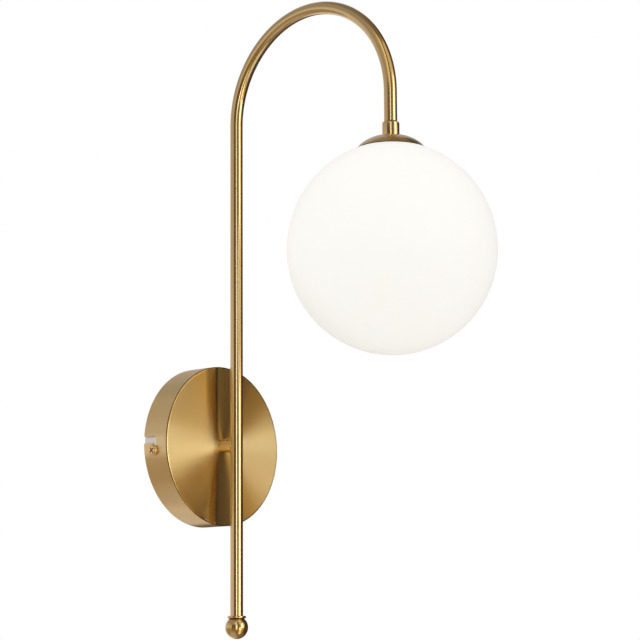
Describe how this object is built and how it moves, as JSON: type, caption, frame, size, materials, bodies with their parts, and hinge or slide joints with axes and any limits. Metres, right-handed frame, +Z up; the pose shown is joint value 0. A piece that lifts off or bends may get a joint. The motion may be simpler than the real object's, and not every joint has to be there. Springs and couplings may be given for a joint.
{
  "type": "globe wall sconce",
  "caption": "Wall light with a round flat canopy, a tall hooked brushed brass tube ending in a ball, and a matt opal glass globe hanging from a small domed cap.",
  "frame": {"origin": "middle of the canopy on the wall plane, which is also the middle of the bracket's back", "axes": "+Y points into the wall, -Y into the room, +Z up, +X to the right as seen from the room"},
  "size_m": [0.15, 0.2655, 0.47],
  "materials": {
    "brushed_brass": "finely brushed and lacquered",
    "plain_brass": "plain turned brass",
    "zinc_plated_steel": "bright zinc plated",
    "spring_steel": "plain spring temper",
    "nickel_plated_contact": "nickel plated",
    "opal_glass": "matt white opal",
    "clear_glass": "clear",
    "white_ceramic": "unglazed white",
    "white_plastic": "satin white",
    "dark_rubber": "matt black",
    "clear_silicone": "milky silicone",
    "brown_lead": "heat resisting sleeve, brown",
    "blue_lead": "heat resisting sleeve, blue",
    "green_yellow_lead": "green and yellow sleeve",
    "white_circuit_board": "white solder mask",
    "light_chip": "yellow phosphor"
  },
  "bodies": {
    "bracket": {"wall_bracket": "zinc_plated_steel", "cable_grommet": "dark_rubber", "bracket_earth_screw": "zinc_plated_steel", "drum_screws": "plain_brass"},
    "fixture": {"drum_cover": "brushed_brass", "terminal_plate": "zinc_plated_steel", "terminal_block": "white_plastic", "terminal_inserts": "plain_brass", "terminal_screws": "zinc_plated_steel", "block_screws": "zinc_plated_steel", "plate_earth_screw": "zinc_plated_steel", "earth_tag": "zinc_plated_steel", "earth_lead": "green_yellow_lead", "live_lead": "brown_lead", "neutral_lead": "blue_lead", "arm_nipple": "plain_brass", "nipple_washer": "zinc_plated_steel", "nipple_nut": "plain_brass", "post_sleeve": "brushed_brass", "tube_saddle": "brushed_brass", "arm_tube": "brushed_brass", "tube_plug": "zinc_plated_steel", "finial_collar": "brushed_brass", "finial_ball": "brushed_brass", "tube_ferrule": "brushed_brass", "shade_cap": "brushed_brass", "cap_gasket": "clear_silicone", "globe_gripper": "spring_steel", "gripper_washer": "zinc_plated_steel", "gripper_nut": "plain_brass", "holder_stirrup": "zinc_plated_steel", "holder_nut": "plain_brass", "lamp_holder": "white_ceramic", "holder_contacts": "nickel_plated_contact", "holder_screws": "zinc_plated_steel"},
    "globe": {"opal_globe": "opal_glass"},
    "lamp": {"lamp_base": "white_plastic", "lamp_pins": "nickel_plated_contact", "lamp_envelope": "clear_glass", "light_board": "white_circuit_board", "light_chips": "light_chip"}
  },
  "joints": [
    {"name": "drum_twist", "type": "hinge", "parent": "bracket", "child": "fixture", "pos_m": [0, 0, 0], "axis": [0, -1, 0], "range_deg": [0, 7.6]},
    {"name": "globe_drop", "type": "slide", "parent": "fixture", "child": "globe", "axis": [0, 0, -1], "range_m": [0, 0.085]},
    {"name": "lamp_pull", "type": "slide", "parent": "fixture", "child": "lamp", "axis": [0, 0, -1], "range_m": [0, 0.025]}
  ]
}
